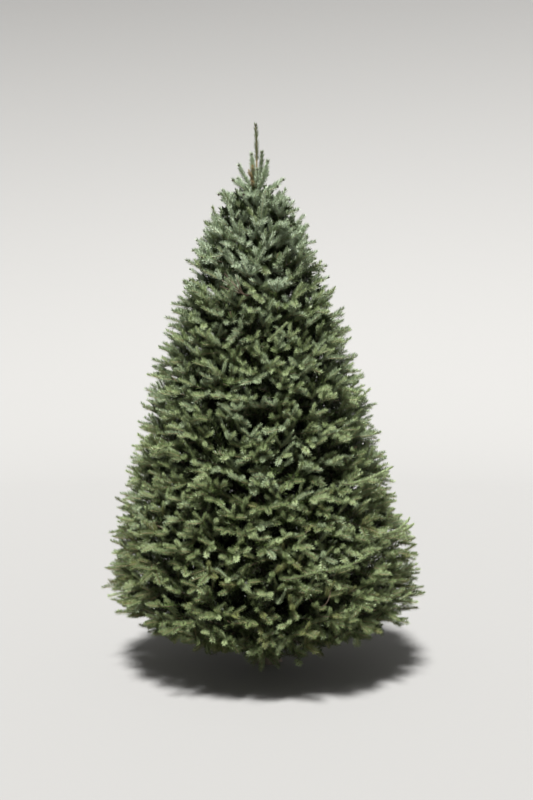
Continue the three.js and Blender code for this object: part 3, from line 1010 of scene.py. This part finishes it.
def growSprig(made):
    draw = randomFrom(crown["seed"] + 3)
    angle, height, reach, steps = sprig["angle"], sprig["height"], sprig["reach"], sprig["steps"]
    root = crownPoint(angle, 0, height)
    middle = crownPoint(angle, reach / 2, height + sprig["rise"])
    end = crownPoint(angle, reach, height - sprig["drop"])
    points = arc(root, middle, end, steps)
    addWood(made, "shootWood", points, sprig["thickness"], 1)
    along = (points[-1] - points[-3]).normalized()
    for i in range(sprig["shoots"]):
        place = lerp(*sprig["places"], i / (sprig["shoots"] - 1)) * steps
        start = points[int(place)].lerp(points[int(place) + 1], place % 1)
        side = 0 if i == sprig["shoots"] - 1 else (-1) ** i
        heading = along.copy()
        heading.rotate(Quaternion(up, -side * between(sprig["shootAngle"], draw)))
        heading.z -= between(sprig["shootDroop"], draw)
        tip = start + heading.normalized() * between(sprig["shootLength"], draw)
        tip.z = max(tip.z, sprig["lowest"])
        shoot = bowed(start, tip, up * sprig["shootBow"], sprig["shootSteps"])
        addShoot(made, shoot, sprig["tints"][0 if draw() < 0.5 else 1], sprig["shoot"])


# Stray shoots: slender paler ones that lie over the crown's front, and a patch of bare twigs

strays = {
    "shoots": (  # where each comes out of the crown, its tip and its colour
        ((0.014, -0.385, 1.482), (0.075, -0.400, 1.542), 2),
        ((0.365, -0.405, 0.877), (0.530, -0.290, 0.930), 2),
        ((0.495, -0.345, 0.641), (0.603, -0.315, 0.712), 2),
        ((0.520, -0.345, 0.655), (0.618, -0.330, 0.690), 2),
        ((0.072, -0.665, 0.531), (0.217, -0.645, 0.560), 3),
        ((0.200, -0.635, 0.556), (0.331, -0.600, 0.568), 3),
        ((0.293, -0.575, 0.556), (0.414, -0.500, 0.597), 3),
        ((0.042, -0.630, 0.430), (0.068, -0.665, 0.486), 1),
    ),
    "bareTwigs": (
        ((-0.108, -0.338, 1.672), (-0.184, -0.292, 1.757)),
        ((-0.106, -0.338, 1.673), (-0.136, -0.317, 1.752)),
        ((-0.110, -0.340, 1.670), (-0.205, -0.285, 1.704)),
        ((-0.108, -0.342, 1.671), (-0.160, -0.306, 1.738)),
        ((-0.107, -0.340, 1.672), (-0.196, -0.284, 1.730)),
        ((0.217, -0.615, 0.410), (0.252, -0.605, 0.474)),
    ),
    "rooted": 0.25,  # how far back towards the trunk's middle they start
    "steps": 10,
    "needled": (0.4, 1.0),
    "shoot": {"girth": 0.95, "spacing": 0.0007, "wood": (0.0018, 0.0010)},
    "bareWood": (0.0020, 0.0011),
}


def strayPath(place, end):  # from inside the crown, out at the place and on to the end
    place, end = Vector(place), Vector(end)
    start = place.lerp(Vector((0, 0, place.z)), strays["rooted"])
    return bowed(start, end, place - (start + end) / 2, strays["steps"])


def growStrays(made):
    for place, end, tint in strays["shoots"]:
        addShoot(made, strayPath(place, end), tint, strays["shoot"], strays["needled"], 1)
    for place, end in strays["bareTwigs"]:
        addWood(made, "shootWood", strayPath(place, end), strays["bareWood"], 1)


# Buds: a plump one at the tip of each shoot in the high crown, a cluster at the leader's

buds = {
    "fromTier": 5,
    "length": 0.0090,
    "profile": [0.0014, 0.0029, 0.0026, 0.0005],  # radii from its foot to its point
    "atLeader": 5,
    "spread": 0.9,
}


def budPaths(tips):
    paths = []
    steps = len(buds["profile"]) - 1
    for tip, heading, tier in tips:
        if tier < buds["fromTier"]:
            continue
        headings = [heading]
        if tier > lastTier:
            side = heading.orthogonal()
            for i in range(buds["atLeader"]):
                turned = side.copy()
                turned.rotate(Quaternion(heading, 2 * math.pi * i / buds["atLeader"]))
                headings.append((heading + turned * buds["spread"]).normalized())
        for way in headings:
            points = [tip + way * (buds["length"] * i / steps) for i in range(steps + 1)]
            paths.append({"points": points, "thickness": buds["profile"], "age": 1})
    return paths


# Growing the tree

print("fir: growing boughs and shoots")
tiers = []
for tier, count in enumerate(crown["boughsInTier"]):
    tiers.append([defaultdict(list) for _ in range(count)])  # each mass's paths, by kind
    for index, made in enumerate(tiers[tier]):
        growMass(made, tier, index)
topMade, footMade, strayMade = [defaultdict(list) for _ in range(3)]
growLeader(topMade)
growSprig(footMade)
growStrays(strayMade)
allMade = [made for masses in tiers for made in masses]
print(f"fir: {sum(len(made['brushes']) for made in allMade)} shoots")

print("fir: materials")
tints = [plainMaterial(name, colour, **needleFinish) for name, colour in needleColours.items()]
youngBark = plainMaterial("youngShootBark", "#857656", 0.7)  # new twigs: smooth tan skin
oldBark = plainMaterial("oldTwigBark", "#5c4c3e", 0.85)  # older twigs: dull brown
trunkBark = barkMaterial("greyFirBark", "#4d443a", "#857a6c", 0.05)
boughBark = barkMaterial("brownFirBark", "#5a4a3a", "#8d7a62", 0.03)
budPlates = plainMaterial("waxyBudScale", "#43342b", 0.45)  # brown scales under a thin coat of resin

print("fir: trunk")
roots = []
for made in allMade:
    limb = made["boughs"][0]["points"]
    ahead = limb[3] - limb[0]
    roots.append((math.atan2(ahead.y, ahead.x), limb[0].z))
keep(trunkPiece(roots, trunkBark), ["trunk"])

print("fir: boughs")
pieceSizes = {  # what each kind of piece changes of its tree's own sizes
    "boughs": {"Sides": 10, "Relief": 0.0016, "Relief Size": 0.012},
    "twigs": {"Sides": 3},
    "leaderStem": {"Sides": 6},
    "fewTwigs": {"Sides": 5},
    "buds": {"Sides": 4},
    "innerNeedles": {"Needle Length": 0.0208, "Needle Width": 0.0085, "Tip Lean": 0.7},
    "leaderNeedles": {"Twist": 9.0},
    "stemNeedles": {
        "Needle Length": 0.024, "Needle Width": 0.0030, "Lean": 0.75, "Tip Lean": 0.4, "Upsweep": 0.0,
        "Twist": 9.0,
    },
    "strayNeedles": {"Twist": 6.0},
    "twists": (2.2, 6.0),  # of the crown's needles, by tier
    "twistPower": 2,
}
limbs = limbTree(boughBark, boughBark)
twigWood = limbTree(youngBark, oldBark)
brushTree = needleTree(tints)


def woodPiece(name, paths, kind, nodes=()):
    keep(grown(name, paths, limbs if kind == "boughs" else twigWood, pieceSizes[kind]), nodes)


def needlePiece(name, paths, changed, nodes=()):
    keep(grown(name, paths, brushTree, changed), nodes)


for tier, masses in enumerate(tiers):
    paths = [path for made in masses for path in made["boughs"]]
    nodes = []
    if tier < crown["tiersWithBoughs"]:
        nodes = [f"bough_{tier + 1}_{index + 1}" for index in range(len(masses))]
    woodPiece(f"boughBark_{tier + 1}", paths, "boughs", nodes)

print("fir: twigs and needles")
for tier, masses in enumerate(tiers):
    parts = crown["needlePieces"][tier]
    twist = {"Twist": byTier(pieceSizes["twists"], tier, pieceSizes["twistPower"])}
    for part in range(parts):
        some = [index for index in range(len(masses)) if index * parts // len(masses) == part]
        label = f"{tier + 1}" + ("" if parts == 1 else "abc"[part])
        paths = [path for index in some for path in masses[index]["brushes"]]
        needlePiece(f"needles_{label}", paths, twist, [f"foliage_{tier + 1}_{index + 1}" for index in some])
    paths = [path for made in masses for path in made["inner"]]
    needlePiece(f"innerNeedles_{tier + 1}", paths, pieceSizes["innerNeedles"])
    paths = [path for made in masses for path in made["branchletWood"] + made["shootWood"]]
    woodPiece(f"twigs_{tier + 1}", paths, "twigs")
needlePiece("leaderNeedles", topMade["brushes"], pieceSizes["leaderNeedles"], ["foliage_leader"])
needlePiece("leaderStemNeedles", topMade["leaderNeedles"], pieceSizes["stemNeedles"])
woodPiece("leaderStem", topMade["shootWood"], "leaderStem")
needlePiece("footNeedles", footMade["brushes"], {}, ["foliage_foot"])
woodPiece("footTwigs", footMade["shootWood"], "fewTwigs")
needlePiece("strayNeedles", strayMade["brushes"], pieceSizes["strayNeedles"])
woodPiece("strayTwigs", strayMade["shootWood"], "fewTwigs")
tips = [tip for made in allMade + [topMade] for tip in made["tips"]]
keep(grown("buds", budPaths(tips), limbTree(budPlates, budPlates), pieceSizes["buds"]))

# Floor, light and camera

print("fir: studio")
studio = {
    "floorRadius": 6.5,  # of its flat part
    "floorSides": 96,
    "rimRadius": 9.0,  # of the curve in which its rim turns up
    "rimSteps": 16,
    "floorColour": "#8a8987",
    "floorRoughness": 0.9,
    "worldColour": "#f1f1ef",
    "worldStrength": 0.24,
    "keyFrom": (-0.9, -3.4, 8.3),
    "keySoftness": 12.0,  # degrees across
    "keyStrength": 9.1,
    "cameraPlace": (-0.007, -4.93, 1.5),
    "cameraTilt": 3.45,  # degrees down
    "lens": 49.05,
    "sensor": 36,
}


sides, steps = studio["floorSides"], studio["rimSteps"]
vertices = []
for step in range(steps + 1):
    turn = math.pi / 2 * step / steps
    distance = studio["floorRadius"] + studio["rimRadius"] * math.sin(turn)
    height = studio["rimRadius"] * (1 - math.cos(turn))
    for side in range(sides):
        angle = 2 * math.pi * side / sides
        vertices.append((distance * math.cos(angle), distance * math.sin(angle), height))
faces = [tuple(range(sides))] + [face[::-1] for face in ringFaces(steps, sides)]
paper = plainMaterial("mattePaperFloor", studio["floorColour"], studio["floorRoughness"])  # no gloss
floor = facedObject("floor", vertices, faces, paper)
bpy.context.scene.view_settings.view_transform = "Standard"

world = bpy.data.worlds.new("softSky")
bpy.context.scene.world = world
world.use_nodes = True
sky = world.node_tree.nodes["Background"]
sky.inputs["Color"].default_value = linear(studio["worldColour"])
sky.inputs["Strength"].default_value = studio["worldStrength"]
sun = bpy.data.lights.new("key", "SUN")
sun.energy = studio["keyStrength"]
sun.angle = math.radians(studio["keySoftness"])
key = newObject("key", sun)
key.location = studio["keyFrom"]
key.rotation_euler = Vector(studio["keyFrom"]).to_track_quat("Z", "Y").to_euler()

lens = bpy.data.cameras.new("camera")
lens.lens = studio["lens"]
lens.sensor_width = studio["sensor"]
camera = newObject("camera", lens)
camera.location = studio["cameraPlace"]
camera.rotation_euler = (math.radians(90 - studio["cameraTilt"]), 0, 0)
bpy.context.scene.camera = camera
